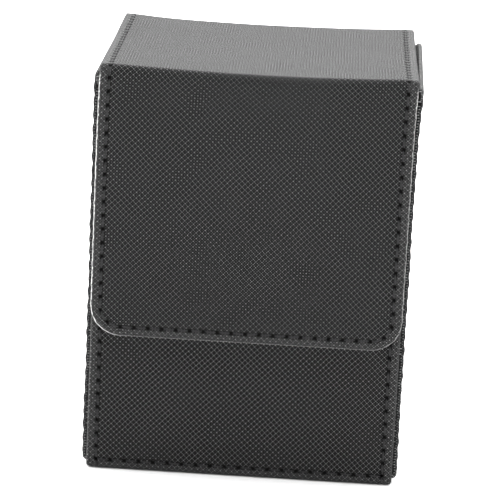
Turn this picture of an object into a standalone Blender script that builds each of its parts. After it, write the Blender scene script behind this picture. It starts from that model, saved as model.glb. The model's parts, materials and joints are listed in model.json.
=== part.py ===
"""Card deck box: a flip-top case in leather-covered board that stands a deck of sleeved cards upright.

One long strip of stiffened leather makes the front panel, base, back, lid top and front flap. Two side
panels with turned edges close the ends, sewn behind the strip's edges. The lid swings on the leather at
the top of the back, the flap folds at the lid's front edge, and magnets in the flap and the front panel
hold it shut.

Axes: +X to the right as seen from the front, +Y from front to back, +Z up. The origin is the middle of
the base, on the surface that the box stands on.
"""

import math

import bmesh
import bpy
from mathutils import Vector

MM = 0.001

# Driving dimensions: the closed box.
STRIP_WIDTH = 76.0 * MM
SIDE_PROUD = 1.2 * MM  # how far a side panel stands out past the strip's edge
DEPTH = 72.0 * MM  # flap's face to back
HEIGHT = 103.0 * MM
FLAP_BOTTOM = 35.6 * MM  # height of the flap's lower edge
FLAP_CORNER_RADIUS = 7.5 * MM

# The laminate that every wall is made of, outside to inside.
LEATHER = 0.9 * MM
BOARD = 1.4 * MM
LINING = 0.4 * MM
GAP = 0.3 * MM  # glue line or clearance between neighbours
BOARD_DEPTH = LEATHER + GAP
LINING_DEPTH = BOARD_DEPTH + BOARD + GAP
WALL = LINING_DEPTH + LINING

# Leather folds.
BOTTOM_FOLD_RADIUS = 1.5 * MM
TOP_FOLD_RADIUS = 2.0 * MM
FOLD_REACH = 3.5 * MM  # how far a top fold's leather runs along each face from the corner
LINING_FOLD_RADIUS = 0.6 * MM
LINING_FOLD_REACH = 2.5 * MM  # how far a fold's lining runs along each face from its own corner

# Side panels: a web with edges turned in behind the strip.
TURNED_EDGE = 5.7 * MM  # from the web's face to the turned edge's end
SIDE_TOP_BACK_RADIUS = 4.0 * MM
SIDE_TOP_FRONT_RADIUS = 1.3 * MM
SIDE_BOTTOM_RADIUS = 2.0 * MM
SIDE_FOLD_RADIUS = 0.8 * MM

# Seams.
SEAM_INSET = 2.4 * MM  # seam's centre line from the edge it runs along
THREAD_WIDTH = 0.7 * MM
THREAD_RECESS = 0.05 * MM  # thread's face below the leather's
THREAD_DEPTH = 0.3 * MM  # thread's back below the leather's face
GROOVE_DEPTH = THREAD_DEPTH + GAP
GROOVE_WIDTH = THREAD_WIDTH + 2 * GAP
OVERCUT = 0.5 * MM  # how far a cutter runs past the surface it cuts

# Magnets.
MAGNET_RADIUS = 6.0 * MM
MAGNET_THICKNESS = 1.1 * MM
MAGNET_SPACING = 40.0 * MM
MAGNET_ABOVE_FLAP_EDGE = 15.0 * MM
MAGNET_BEVEL = 0.15 * MM

# Small roundings.
CUT_EDGE_RADIUS = 0.3 * MM  # leather's cut edges
BOARD_CORNER_RADIUS = 1.0 * MM
LINING_CORNER_RADIUS = 1.5 * MM
ARC_STEPS = 6
EDGE_STEPS = 3
MAGNET_SEGMENTS = 32
SMOOTH_ANGLE = math.radians(35)

# Planes worked out from the driving dimensions.
HALF_STRIP = STRIP_WIDTH / 2
HALF_WIDTH = HALF_STRIP + SIDE_PROUD
BACK = DEPTH / 2
FLAP_FRONT = -DEPTH / 2
FRONT = FLAP_FRONT + WALL + GAP
LID_UNDERSIDE = HEIGHT - WALL
RIM = LID_UNDERSIDE - GAP  # top of the front and side walls
FOLD_FOOT = HEIGHT - FOLD_REACH  # lower end of both top folds' leather
COVER_TOP = FOLD_FOOT - GAP  # top of the leather that meets a fold
LINING_TOP = LID_UNDERSIDE - LINING_FOLD_REACH - GAP  # top of the linings that meet a fold's lining
LID_FRONT = FLAP_FRONT + FOLD_REACH + GAP
LID_BACK = BACK - FOLD_REACH - GAP
INNER_HALF_WIDTH = HALF_WIDTH - WALL
LINING_HALF_WIDTH = INNER_HALF_WIDTH - GAP  # linings that end between the side linings
BOARD_HALF_WIDTH = HALF_WIDTH - TURNED_EDGE - GAP  # boards that end between the turned edges
SEAM_X = HALF_STRIP - SEAM_INSET
HEM_Z = SEAM_INSET
SQUARE = (0.0, 0.0, 0.0, 0.0)

# Joint axes, both along X: the lid's in its hinge leather, the flap's in the middle of its fold.
LID_AXIS = Vector((0.0, BACK - LEATHER, HEIGHT - LEATHER))
FLAP_AXIS = Vector((0.0, FLAP_FRONT + 1.7 * MM, HEIGHT - 1.7 * MM))

# Finish: base colour, roughness, metallic.
FINISHES = {
    "leather": ((0.035, 0.035, 0.037), 0.5, 0.0),
    "board": ((0.33, 0.30, 0.26), 0.9, 0.0),
    "lining": ((0.018, 0.018, 0.02), 0.95, 0.0),
    "thread": ((0.008, 0.008, 0.009), 0.6, 0.0),
    "magnet": ((0.72, 0.71, 0.69), 0.25, 1.0),
}


def clear_scene():
    for obj in list(bpy.data.objects):
        bpy.data.objects.remove(obj)


def make_material(name, finish):
    colour, roughness, metallic = FINISHES[finish]
    material = bpy.data.materials.new(f"{name}_{finish}")
    material.use_nodes = True
    shader = material.node_tree.nodes["Principled BSDF"]
    shader.inputs["Base Color"].default_value = (*colour, 1.0)
    shader.inputs["Roughness"].default_value = roughness
    shader.inputs["Metallic"].default_value = metallic
    material.diffuse_color = (*colour, 1.0)
    return material


def make_pivot(name, location, parent=None):
    """An empty on a joint's axis, which carries the pieces that the joint moves."""
    pivot = bpy.data.objects.new(name, None)
    bpy.context.collection.objects.link(pivot)
    pivot.empty_display_size = 10 * MM
    place(pivot, location, parent)
    return pivot


def place(obj, location, parent):
    """Puts an object at a place in the world, under a parent that is only moved and not turned."""
    obj.parent = parent
    offset = parent_location(parent)
    obj.location = location - offset


def parent_location(parent):
    total = Vector((0.0, 0.0, 0.0))
    while parent is not None:
        total = total + parent.location
        parent = parent.parent
    return total


def add_object(name, finish, mesh_data, location, parent):
    mesh = bpy.data.meshes.new(name)
    mesh_data.to_mesh(mesh)
    mesh_data.free()
    mesh.shade_smooth()
    mesh.set_sharp_from_angle(angle=SMOOTH_ANGLE)
    mesh.materials.append(make_material(name, finish))
    obj = bpy.data.objects.new(name, mesh)
    bpy.context.collection.objects.link(obj)
    place(obj, location, parent)
    return obj


def add_solid(name, finish, rings, parent=None):
    """One closed solid through matching rings of points, capped at both ends, about its own centre."""
    points = [point for ring in rings for point in ring]
    lows = [min(point[axis] for point in points) for axis in range(3)]
    highs = [max(point[axis] for point in points) for axis in range(3)]
    centre = (Vector(lows) + Vector(highs)) / 2
    mesh_data = bmesh.new()
    rows = [[mesh_data.verts.new(Vector(point) - centre) for point in ring] for ring in rings]
    for lower, upper in zip(rows, rows[1:]):
        for index in range(len(lower)):
            following = (index + 1) % len(lower)
            mesh_data.faces.new((lower[index], lower[following], upper[following], upper[index]))
    mesh_data.faces.new(rows[0])
    mesh_data.faces.new(rows[-1])
    bmesh.ops.recalc_face_normals(mesh_data, faces=mesh_data.faces)
    return add_object(name, finish, mesh_data, centre, parent)


def on_axes(normal, u, v, n):
    """A point from its two in-plane coordinates and its height along the normal axis."""
    if normal == "X":
        return (n, u, v)
    if normal == "Y":
        return (u, n, v)
    return (u, v, n)


def rounded_rectangle(u, v, radii, inset):
    """A rectangle's outline, anticlockwise from its low corner, moved in by an inset all round."""
    points = []
    for corner, (sign_u, sign_v) in enumerate(((1, 1), (-1, 1), (-1, -1), (1, -1))):
        corner_u = u[0] if sign_u > 0 else u[1]
        corner_v = v[0] if sign_v > 0 else v[1]
        radius = radii[corner]
        if radius == 0:
            points.append((corner_u + sign_u * inset, corner_v + sign_v * inset))
            continue
        centre_u = corner_u + sign_u * radius
        centre_v = corner_v + sign_v * radius
        for step in range(ARC_STEPS + 1):
            angle = math.pi + (corner + step / ARC_STEPS) * math.pi / 2
            reach = radius - inset
            points.append((centre_u + reach * math.cos(angle), centre_v + reach * math.sin(angle)))
    return points


def edge_profile(n, low_radius, high_radius):
    """Pairs of inset and height that round a slab's edge at its low and its high face."""
    profile = []
    for face, inward, radius in ((n[0], 1, low_radius), (n[1], -1, high_radius)):
        side = [(0.0, face)]
        if radius > 0:
            side = []
            for step in range(EDGE_STEPS + 1):
                angle = step / EDGE_STEPS * math.pi / 2
                inset = radius * (1 - math.sin(angle))
                side.append((inset, face + inward * radius * (1 - math.cos(angle))))
        profile += side if inward > 0 else side[::-1]
    return profile


def slab(name, finish, normal, u, v, n, radii=SQUARE, edges=(0.0, 0.0), parent=None):
    """A flat piece: an outline in the plane across the normal axis, from one height to another."""
    rings = []
    for inset, height in edge_profile(n, *edges):
        outline = rounded_rectangle(u, v, radii, inset)
        rings.append([on_axes(normal, point[0], point[1], height) for point in outline])
    return add_solid(name, finish, rings, parent)


def offset_path(path, distance):
    """A path of square corners, moved to its own left."""
    normals = []
    for start, end in zip(path, path[1:]):
        length = math.dist(start, end)
        normals.append((-(end[1] - start[1]) / length, (end[0] - start[0]) / length))
    moved = []
    for index, point in enumerate(path):
        beside = {max(index - 1, 0), min(index, len(normals) - 1)}
        step_u = sum(normals[side][0] for side in beside) * distance
        step_v = sum(normals[side][1] for side in beside) * distance
        moved.append((point[0] + step_u, point[1] + step_v))
    return moved


def round_path(path, radius):
    """A path with each square corner turned into an arc."""
    points = [path[0]]
    for before, corner, after in zip(path, path[1:], path[2:]):
        arriving = (Vector(corner) - Vector(before)).normalized()
        leaving = (Vector(after) - Vector(corner)).normalized()
        centre = Vector(corner) + (leaving - arriving) * radius
        for step in range(ARC_STEPS + 1):
            angle = step / ARC_STEPS * math.pi / 2
            spoke = arriving * math.sin(angle) - leaving * math.cos(angle)
            points.append(tuple(centre + spoke * radius))
    points.append(path[-1])
    return points


def ribbon(path, near, far, near_radius):
    """The outline between two copies of a path, moved to its left by a near and a far distance."""
    outer = round_path(offset_path(path, near), near_radius)
    inner = round_path(offset_path(path, far), near_radius - (far - near))
    return outer + inner[::-1]


def extrusion(name, finish, normal, outline, n, parent=None):
    """An outline in the plane across the normal axis, carried from one height to another."""
    rings = [[on_axes(normal, point[0], point[1], height) for point in outline] for height in n]
    return add_solid(name, finish, rings, parent)


def cut(target, cutter):
    """Takes the cutter's shape out of the target and hides the cutter."""
    cutter.hide_render = True
    cutter.display_type = "WIRE"
    modifier = target.modifiers.new(cutter.name, "BOOLEAN")
    modifier.operation = "DIFFERENCE"
    modifier.solver = "EXACT"
    modifier.object = cutter


def about(centre, width):
    return (centre - width / 2, centre + width / 2)


def inward_layer(face, direction, depth, thickness):
    """The span of one layer of a wall whose outer face and inward direction are given."""
    ends = (face + direction * depth, face + direction * (depth + thickness))
    return (min(ends), max(ends))


def leather_layer(face, direction):
    return inward_layer(face, direction, 0.0, LEATHER)


def board_layer(face, direction):
    return inward_layer(face, direction, BOARD_DEPTH, BOARD)


def lining_layer(face, direction):
    return inward_layer(face, direction, LINING_DEPTH, LINING)


def seam_layer(face, direction):
    return inward_layer(face, direction, THREAD_RECESS, THREAD_DEPTH - THREAD_RECESS)


def groove_layer(face, direction):
    return inward_layer(face, direction, -OVERCUT, GROOVE_DEPTH + OVERCUT)


# ---------------------------------------------------------------- box


def build_body_wrap():
    """The leather of the front panel, base and back, in one piece, with grooves for its three seams."""
    path = [(FRONT, RIM), (FRONT, 0.0), (BACK, 0.0), (BACK, COVER_TOP)]
    outline = ribbon(path, 0.0, LEATHER, BOTTOM_FOLD_RADIUS)
    wrap = extrusion("body_wrap", "leather", "X", outline, (-HALF_STRIP, HALF_STRIP))

    long_path = [(FRONT, RIM + OVERCUT), (FRONT, 0.0), (BACK, 0.0), (BACK, COVER_TOP + OVERCUT)]
    groove = ribbon(long_path, -OVERCUT, GROOVE_DEPTH, BOTTOM_FOLD_RADIUS + OVERCUT)
    for side, name in ((-1, "left"), (1, "right")):
        span = about(side * SEAM_X, GROOVE_WIDTH)
        cut(wrap, extrusion(f"{name}_seam_groove", "leather", "X", groove, span))
    hem_groove = slab(
        "hem_groove",
        "leather",
        "Y",
        (-SEAM_X, SEAM_X),
        about(HEM_Z, GROOVE_WIDTH),
        groove_layer(FRONT, 1),
    )
    cut(wrap, hem_groove)


def build_body_threads():
    """A thread down each edge of the strip, from front to back under the base, and one along the hem."""
    path = [(FRONT, RIM), (FRONT, 0.0), (BACK, 0.0), (BACK, COVER_TOP)]
    outline = ribbon(path, THREAD_RECESS, THREAD_DEPTH, BOTTOM_FOLD_RADIUS - THREAD_RECESS)
    for side, name in ((-1, "left"), (1, "right")):
        extrusion(f"{name}_seam_thread", "thread", "X", outline, about(side * SEAM_X, THREAD_WIDTH))
    reach = SEAM_X - THREAD_WIDTH / 2 - GAP
    slab(
        "hem_thread",
        "thread",
        "Y",
        (-reach, reach),
        about(HEM_Z, THREAD_WIDTH),
        seam_layer(FRONT, 1),
    )


def build_body_boards():
    """The stiff boards behind the wrap, which end between the side panels' turned edges."""
    across = (-BOARD_HALF_WIDTH, BOARD_HALF_WIDTH)
    top_corners = (0.0, 0.0, BOARD_CORNER_RADIUS, BOARD_CORNER_RADIUS)
    front_y = board_layer(FRONT, 1)
    back_y = board_layer(BACK, -1)
    base_z = board_layer(0.0, 1)
    front = slab(
        "front_board",
        "board",
        "Y",
        across,
        (base_z[0], RIM - GAP),
        front_y,
        top_corners,
    )
    cut_magnet_holes(front, "front", front_y)
    slab("back_board", "board", "Y", across, (base_z[0], COVER_TOP - GAP), back_y, top_corners)
    slab("base_board", "board", "Z", across, (front_y[1] + GAP, back_y[0] - GAP), base_z)


def build_body_linings():
    across = (-LINING_HALF_WIDTH, LINING_HALF_WIDTH)
    front_y = lining_layer(FRONT, 1)
    back_y = lining_layer(BACK, -1)
    base_z = lining_layer(0.0, 1)
    slab("front_lining", "lining", "Y", across, (base_z[0], RIM - GAP), front_y)
    slab("back_lining", "lining", "Y", across, (base_z[0], LINING_TOP), back_y)
    slab("base_lining", "lining", "Z", across, (front_y[1] + GAP, back_y[0] - GAP), base_z)


def build_side(side, name):
    """A side panel with its edges turned in, its board and its lining."""
    face = side * HALF_WIDTH
    y = (FRONT + LEATHER + GAP, BACK - LEATHER - GAP)
    z = (LEATHER + GAP, RIM)
    radii = (SIDE_BOTTOM_RADIUS, SIDE_BOTTOM_RADIUS, SIDE_TOP_BACK_RADIUS, SIDE_TOP_FRONT_RADIUS)
    panel_x = inward_layer(face, -side, 0.0, TURNED_EDGE)
    edges = (0.0, SIDE_FOLD_RADIUS) if side > 0 else (SIDE_FOLD_RADIUS, 0.0)
    panel = slab(f"{name}_side_panel", "leather", "X", y, z, panel_x, radii, edges)

    inside_y = (y[0] + LEATHER, y[1] - LEATHER)
    inside_z = (z[0] + LEATHER, z[1] - LEATHER)
    inside_radii = [radius - LEATHER for radius in radii]
    pocket_x = inward_layer(face, -side, LEATHER, TURNED_EDGE)
    pocket = slab(f"{name}_pocket", "leather", "X", inside_y, inside_z, pocket_x, inside_radii)
    cut(panel, pocket)
    mouth_x = inward_layer(face, -side, WALL, TURNED_EDGE)
    mouth_z = (inside_z[1] - SIDE_TOP_BACK_RADIUS, RIM + OVERCUT)
    mouth = slab(f"{name}_mouth", "leather", "X", inside_y, mouth_z, mouth_x)
    cut(panel, mouth)

    board_y = (inside_y[0] + GAP, inside_y[1] - GAP)
    board_z = (inside_z[0] + GAP, inside_z[1] - GAP)
    board_radii = [radius - GAP for radius in inside_radii]
    board_x = board_layer(face, -side)
    slab(f"{name}_side_board", "board", "X", board_y, board_z, board_x, board_radii)

    lining_y = (lining_layer(FRONT, 1)[1] + GAP, lining_layer(BACK, -1)[0] - GAP)
    lining_z = (lining_layer(0.0, 1)[0], inside_z[1] - GAP)
    lining_x = lining_layer(face, -side)
    slab(f"{name}_side_lining", "lining", "X", lining_y, lining_z, lining_x)


# ---------------------------------------------------------------- lid


def build_lid(pivot):
    """The lid's top: leather, board and lining, with a seam along each side edge."""
    y = (LID_FRONT, LID_BACK)
    edges = (0.0, CUT_EDGE_RADIUS)
    cover = slab(
        "lid_cover",
        "leather",
        "Z",
        (-HALF_STRIP, HALF_STRIP),
        y,
        leather_layer(HEIGHT, -1),
        edges=edges,
        parent=pivot,
    )
    groove_y = (y[0] - OVERCUT, y[1] + OVERCUT)
    for side, name in ((-1, "left"), (1, "right")):
        groove = slab(
            f"lid_groove_{name}",
            "leather",
            "Z",
            about(side * SEAM_X, GROOVE_WIDTH),
            groove_y,
            groove_layer(HEIGHT, -1),
            parent=pivot,
        )
        cut(cover, groove)
        slab(
            f"lid_thread_{name}",
            "thread",
            "Z",
            about(side * SEAM_X, THREAD_WIDTH),
            y,
            seam_layer(HEIGHT, -1),
            parent=pivot,
        )
    board_reach = HALF_STRIP - 2 * GAP
    slab(
        "lid_board",
        "board",
        "Z",
        (-board_reach, board_reach),
        y,
        board_layer(HEIGHT, -1),
        [BOARD_CORNER_RADIUS] * 4,
        parent=pivot,
    )
    lining_y = (
        FLAP_FRONT + WALL + LINING_FOLD_REACH,
        BACK - WALL - LINING_FOLD_REACH,
    )
    slab(
        "lid_lining",
        "lining",
        "Z",
        (-board_reach, board_reach),
        lining_y,
        lining_layer(HEIGHT, -1),
        parent=pivot,
    )


def build_back_hinge(pivot):
    """The leather and the lining that bend at the top of the back."""
    leather_path = [(BACK, FOLD_FOOT), (BACK, HEIGHT), (BACK - FOLD_REACH, HEIGHT)]
    leather = ribbon(leather_path, 0.0, LEATHER, TOP_FOLD_RADIUS)
    extrusion("back_hinge_leather", "leather", "X", leather, (-HALF_STRIP, HALF_STRIP), pivot)

    inner_corner = (BACK - WALL, LID_UNDERSIDE)
    lining_path = [
        (inner_corner[0], inner_corner[1] - LINING_FOLD_REACH),
        inner_corner,
        (inner_corner[0] - LINING_FOLD_REACH + GAP, inner_corner[1]),
    ]
    lining = ribbon(lining_path, -LINING, 0.0, LINING_FOLD_RADIUS)
    span = (-LINING_HALF_WIDTH, LINING_HALF_WIDTH)
    extrusion("back_hinge_lining", "lining", "X", lining, span, pivot)


# ---------------------------------------------------------------- flap


def build_flap(pivot):
    """The flap: leather, board with magnets, and lining, with one seam round its free edges."""
    corners = (FLAP_CORNER_RADIUS, FLAP_CORNER_RADIUS, 0.0, 0.0)
    cover = slab(
        "flap_cover",
        "leather",
        "Y",
        (-HALF_STRIP, HALF_STRIP),
        (FLAP_BOTTOM, COVER_TOP),
        leather_layer(FLAP_FRONT, 1),
        corners,
        edges=(CUT_EDGE_RADIUS, 0.0),
        parent=pivot,
    )
    seam_z = FLAP_BOTTOM + SEAM_INSET
    seam_radius = FLAP_CORNER_RADIUS - SEAM_INSET
    path = [(-SEAM_X, COVER_TOP), (-SEAM_X, seam_z), (SEAM_X, seam_z), (SEAM_X, COVER_TOP)]
    half = THREAD_WIDTH / 2
    thread = ribbon(path, -half, half, seam_radius + half)
    extrusion("flap_thread", "thread", "Y", thread, seam_layer(FLAP_FRONT, 1), pivot)
    path[0] = (-SEAM_X, COVER_TOP + OVERCUT)
    path[-1] = (SEAM_X, COVER_TOP + OVERCUT)
    half = GROOVE_WIDTH / 2
    groove = ribbon(path, -half, half, seam_radius + half)
    cut(cover, extrusion("flap_groove", "leather", "Y", groove, groove_layer(FLAP_FRONT, 1), pivot))

    inset = 2 * GAP
    inner_radius = FLAP_CORNER_RADIUS - inset
    inner_corners = (inner_radius, inner_radius, 0.0, 0.0)
    across = (-HALF_STRIP + inset, HALF_STRIP - inset)
    bottom = FLAP_BOTTOM + inset
    board_y = board_layer(FLAP_FRONT, 1)
    board = slab(
        "flap_board",
        "board",
        "Y",
        across,
        (bottom, COVER_TOP - GAP),
        board_y,
        inner_corners,
        parent=pivot,
    )
    cut_magnet_holes(board, "flap", board_y, pivot)
    slab(
        "flap_lining",
        "lining",
        "Y",
        across,
        (bottom, LINING_TOP),
        lining_layer(FLAP_FRONT, 1),
        inner_corners,
        parent=pivot,
    )


def build_front_fold(pivot):
    """The leather and the lining that bend at the lid's front edge."""
    leather_path = [(FLAP_FRONT + FOLD_REACH, HEIGHT), (FLAP_FRONT, HEIGHT), (FLAP_FRONT, FOLD_FOOT)]
    leather = ribbon(leather_path, 0.0, LEATHER, TOP_FOLD_RADIUS)
    extrusion("front_fold_leather", "leather", "X", leather, (-HALF_STRIP, HALF_STRIP), pivot)

    inner_corner = (FLAP_FRONT + WALL, LID_UNDERSIDE)
    lining_path = [
        (inner_corner[0] + LINING_FOLD_REACH - GAP, inner_corner[1]),
        inner_corner,
        (inner_corner[0], inner_corner[1] - LINING_FOLD_REACH),
    ]
    lining = ribbon(lining_path, -LINING, 0.0, LINING_FOLD_RADIUS)
    span = (-LINING_HALF_WIDTH, LINING_HALF_WIDTH)
    extrusion("front_fold_lining", "lining", "X", lining, span, pivot)


# ---------------------------------------------------------------- magnets


def add_disc(name, finish, radius, y, parent, centre_x):
    """A disc whose flat faces look to the front and back."""
    z = FLAP_BOTTOM + MAGNET_ABOVE_FLAP_EDGE
    half = radius
    return slab(
        name,
        finish,
        "Y",
        (centre_x - half, centre_x + half),
        (z - half, z + half),
        y,
        [radius] * 4,
        parent=parent,
    )


def cut_magnet_holes(board, place_name, board_y, parent=None):
    """Two round holes through a board, with a magnet in the middle of each."""
    middle = (board_y[0] + board_y[1]) / 2
    hole_y = (board_y[0] - OVERCUT, board_y[1] + OVERCUT)
    for side, name in ((-1, "left"), (1, "right")):
        x = side * MAGNET_SPACING / 2
        hole = add_disc(f"{place_name}_hole_{name}", "board", MAGNET_RADIUS + GAP, hole_y, parent, x)
        cut(board, hole)
        thickness = about(middle, MAGNET_THICKNESS)
        add_disc(f"{place_name}_magnet_{name}", "magnet", MAGNET_RADIUS, thickness, parent, x)


def main():
    clear_scene()
    build_body_wrap()
    build_body_threads()
    build_body_boards()
    build_body_linings()
    build_side(-1, "left")
    build_side(1, "right")

    lid_pivot = make_pivot("lid_pivot", LID_AXIS)
    build_lid(lid_pivot)
    build_back_hinge(lid_pivot)

    flap_pivot = make_pivot("flap_pivot", FLAP_AXIS, lid_pivot)
    build_flap(flap_pivot)
    build_front_fold(flap_pivot)


main()
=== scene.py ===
import json
import math

import bmesh
import bpy
import numpy as np
from mathutils import Matrix, Vector


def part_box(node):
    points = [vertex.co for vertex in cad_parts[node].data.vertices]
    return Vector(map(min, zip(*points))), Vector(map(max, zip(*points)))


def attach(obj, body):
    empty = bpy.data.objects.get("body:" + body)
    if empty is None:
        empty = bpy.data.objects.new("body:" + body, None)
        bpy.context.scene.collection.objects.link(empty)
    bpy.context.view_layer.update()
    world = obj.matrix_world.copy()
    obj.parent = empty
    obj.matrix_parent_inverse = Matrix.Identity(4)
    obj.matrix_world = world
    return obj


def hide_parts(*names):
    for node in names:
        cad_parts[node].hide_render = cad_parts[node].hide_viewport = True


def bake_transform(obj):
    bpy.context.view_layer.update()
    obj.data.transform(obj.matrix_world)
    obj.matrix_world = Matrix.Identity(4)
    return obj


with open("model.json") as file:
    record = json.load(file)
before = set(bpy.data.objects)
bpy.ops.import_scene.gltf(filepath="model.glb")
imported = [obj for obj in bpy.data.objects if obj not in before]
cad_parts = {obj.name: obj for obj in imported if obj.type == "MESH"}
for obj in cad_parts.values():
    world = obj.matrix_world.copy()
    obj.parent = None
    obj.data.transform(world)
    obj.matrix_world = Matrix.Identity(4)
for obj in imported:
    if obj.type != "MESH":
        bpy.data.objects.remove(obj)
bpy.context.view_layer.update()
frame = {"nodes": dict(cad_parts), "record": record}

MM = 0.001

# ---------------------------------------------------------------- sizes from the frame

strip_low, strip_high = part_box("body_wrap")
lid_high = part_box("lid_cover")[1]
flap_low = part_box("flap_cover")[0]
hinge_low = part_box("back_hinge_leather")[0]
side_low, side_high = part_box("right_side_panel")
side_lining_low, side_lining_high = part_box("right_side_lining")
lining_low, lining_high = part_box("lid_lining")
thread_low, thread_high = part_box("right_seam_thread")
hem_low, hem_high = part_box("hem_thread")

HALF_STRIP = strip_high.x
FRONT = strip_low.y
BACK = strip_high.y
RIM = strip_high.z
HEIGHT = lid_high.z
FLAP_FRONT = flap_low.y
FLAP_BOTTOM = flap_low.z
FOLD_FOOT = hinge_low.z  # lower end of both folds at the lid
HINGE_FRONT = hinge_low.y  # where the back hinge's leather ends on the lid
WALL = HEIGHT - lining_low.z  # leather, board and lining together
HALF_WIDTH = side_high.x
SEAM_X = (thread_low.x + thread_high.x) / 2
HEM_Z = (hem_low.z + hem_high.z) / 2
SEAM_INSET = HALF_STRIP - SEAM_X

# Shapes that the frame's boxes don't give. First the layers and their cut edges.
LEATHER = 1.2 * MM  # leather with its glue, up to the board
LINING = 0.6 * MM
BOARD_INSET = 4.8 * MM  # from the strip's edge to the board inside
PILLOW = 0.3 * MM  # how far the leather's face falls away toward its sewn edge
EDGE_RADIUS = 0.25 * MM  # worn rounding of a cut edge
EDGE_BEVEL = 0.22 * MM  # width of the pale slanting face where the leather is cut
EDGE_DEPTH = EDGE_RADIUS + 0.8 * EDGE_BEVEL  # from the leather's face to the bevel's lower end
EDGE_WANDER = 0.10 * MM  # slow unevenness of the flap's cut sides
FLAP_FRAYING = 0.8  # unevenness of the bevel's width, as a share of it
STRIP_FRAYING = 0.45
LEAST_HEIGHT = 0.02 * MM  # keeps the leather's swell under the base clear of the floor

# The folds of the strip.
FLAP_CORNER_RADIUS = 7.5 * MM
TOP_FOLD_RADIUS = 2.8 * MM
FRONT_FOLD_RADIUS = 1.5 * MM
BOTTOM_FOLD_RADIUS = 1.5 * MM
RIM_FOLD_RADIUS = 1.3 * MM  # the front panel's leather, turned in over its top
INNER_FOLD_RADIUS = 4.0 * MM  # measured on the leather's face, so that the lining inside still bends
TURNED_IN = 7.0 * MM  # how far the front panel's leather reaches down inside
TURNED_OVER_LINING = 0.25 * MM
INNER_HALF_WIDTH = 35.7 * MM  # half the width of the part that is turned in
SPLIT_REACH = 4.0 * MM  # how far the front panel's leather runs back under the base
HINGE_CORNER = 0.4 * MM  # how far the strip's corners are drawn in at the back fold

# The side panels.
SIDE_CORNER_RADIUS = 2.0 * MM
LEFT_FRONT_RADIUS = 5.0 * MM  # rounding of each side panel's corner beside the flap
RIGHT_FRONT_RADIUS = 4.6 * MM
SIDE_FOLD_RADIUS = 1.15 * MM
SIDE_EDGE = 5.0 * MM  # width of the finely meshed border, in which the top turns down
SIDE_LIP = 1.4 * MM  # how far the leather falls away over the top to the lining
SIDE_RISE = 0.6 * MM  # how far the top stands up at the back
SIDE_HOLLOW = 0.35 * MM  # how far the middle of the panel lies below its border
LEFT_FLARE = 0.45 * MM  # how far each panel's loose top leans out
RIGHT_FLARE = 1.1 * MM

# How the lid has warped with use.
SAG = 0.95 * MM  # how far it dips in the middle of its width
LINING_SAG = 0.3  # share of the sag that shows underneath
SAG_START = 92.0 * MM  # height above which the leather follows the sag
BACK_LIFT = 0.35 * MM  # how far it stands up along its back
CORNER_LIFT = 0.35 * MM  # how much more its back corners curl up, the left one most
LEAN = 0.6 * MM  # sideways drift of its front fold

# Sewing and weave.
STITCH = 3.4 * MM  # nearest spacing of the stitch holes
THREAD_RADIUS = 0.22 * MM
HOLE_ACROSS = 0.36  # reach of a hole's dark spot across its seam, in millimetres
HOLE_ALONG = 0.64
CLEAR_OF_SEAMS = 9.0  # millimetres inside a seam, where its marks no longer show
WEAVE_PITCH = 0.5  # millimetres between threads of the embossed weave
DIAGONAL_PITCH = WEAVE_PITCH * math.sqrt(2.0)

# Where the camera stands, and how it is turned, in degrees.
CAMERA_LENS = 189.7  # millimetres, on a sensor 36 mm wide
CAMERA_PLACE = (23.2 * MM, -650.8 * MM, 219.3 * MM)
CAMERA_HEADING = 2.13
CAMERA_LOOKS_DOWN = 14.58
CAMERA_ROLL = 2.82


# ---------------------------------------------------------------- node trees


class Nodes:
    """The node tree of a material or of the world, with short calls for the nodes used here."""

    def __init__(self, owner, shader="Principled BSDF"):
        owner.use_nodes = True
        self.owner = owner
        self.tree = owner.node_tree
        self.shader = self.tree.nodes[shader]

    def new(self, kind):
        return self.tree.nodes.new("ShaderNode" + kind)

    def link(self, source, target):
        self.tree.links.new(source, target)

    def put(self, socket, value):
        if isinstance(value, bpy.types.NodeSocket):
            self.link(value, socket)
        else:
            socket.default_value = value

    def math(self, operation, first, second=0.0, third=0.0):
        node = self.new("Math")
        node.operation = operation
        for socket, value in zip(node.inputs, (first, second, third)):
            self.put(socket, value)
        return node.outputs[0]

    def mix(self, factor, low, high):
        node = self.new("Mix")
        node.data_type = "RGBA"
        for index, part in ((0, factor), (6, low), (7, high)):
            self.put(node.inputs[index], (*part, 1.0) if isinstance(part, tuple) else part)
        return node.outputs[2]

    def number_mix(self, factor, low, high):
        node = self.new("Mix")
        node.data_type = "FLOAT"
        for index, part in ((0, factor), (2, low), (3, high)):
            self.put(node.inputs[index], part)
        return node.outputs[0]

    def remap(self, value, from_low, from_high, to_low, to_high):
        node = self.new("MapRange")
        for index, part in enumerate((value, from_low, from_high, to_low, to_high)):
            self.put(node.inputs[index], part)
        return node.outputs[0]

    def noise(self, vector, scale, detail=2.0):
        node = self.new("TexNoise")
        node.inputs["Scale"].default_value = scale
        node.inputs["Detail"].default_value = detail
        self.link(vector, node.inputs["Vector"])
        return node.outputs["Fac"]

    def place_coordinates(self, kind="Object"):
        return self.new("TexCoord").outputs[kind]

    def coordinates(self, name):
        node = self.new("UVMap")
        node.uv_map = name
        return node.outputs[0]

    def split(self, vector):
        node = self.new("SeparateXYZ")
        self.link(vector, node.inputs[0])
        return node

    def attribute(self, name):
        node = self.new("Attribute")
        node.attribute_name = name
        return node.outputs["Fac"]

    def bump(self, height, distance, strength):
        node = self.new("Bump")
        node.inputs["Strength"].default_value = strength
        node.inputs["Distance"].default_value = distance
        self.link(height, node.inputs["Height"])
        self.link(node.outputs[0], self.shader.inputs["Normal"])

    def colour(self, socket):
        self.link(socket, self.shader.inputs["Base Color"])

    def set(self, name, value):
        self.put(self.shader.inputs[name], value)


# ---------------------------------------------------------------- camera, stage and light


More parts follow.
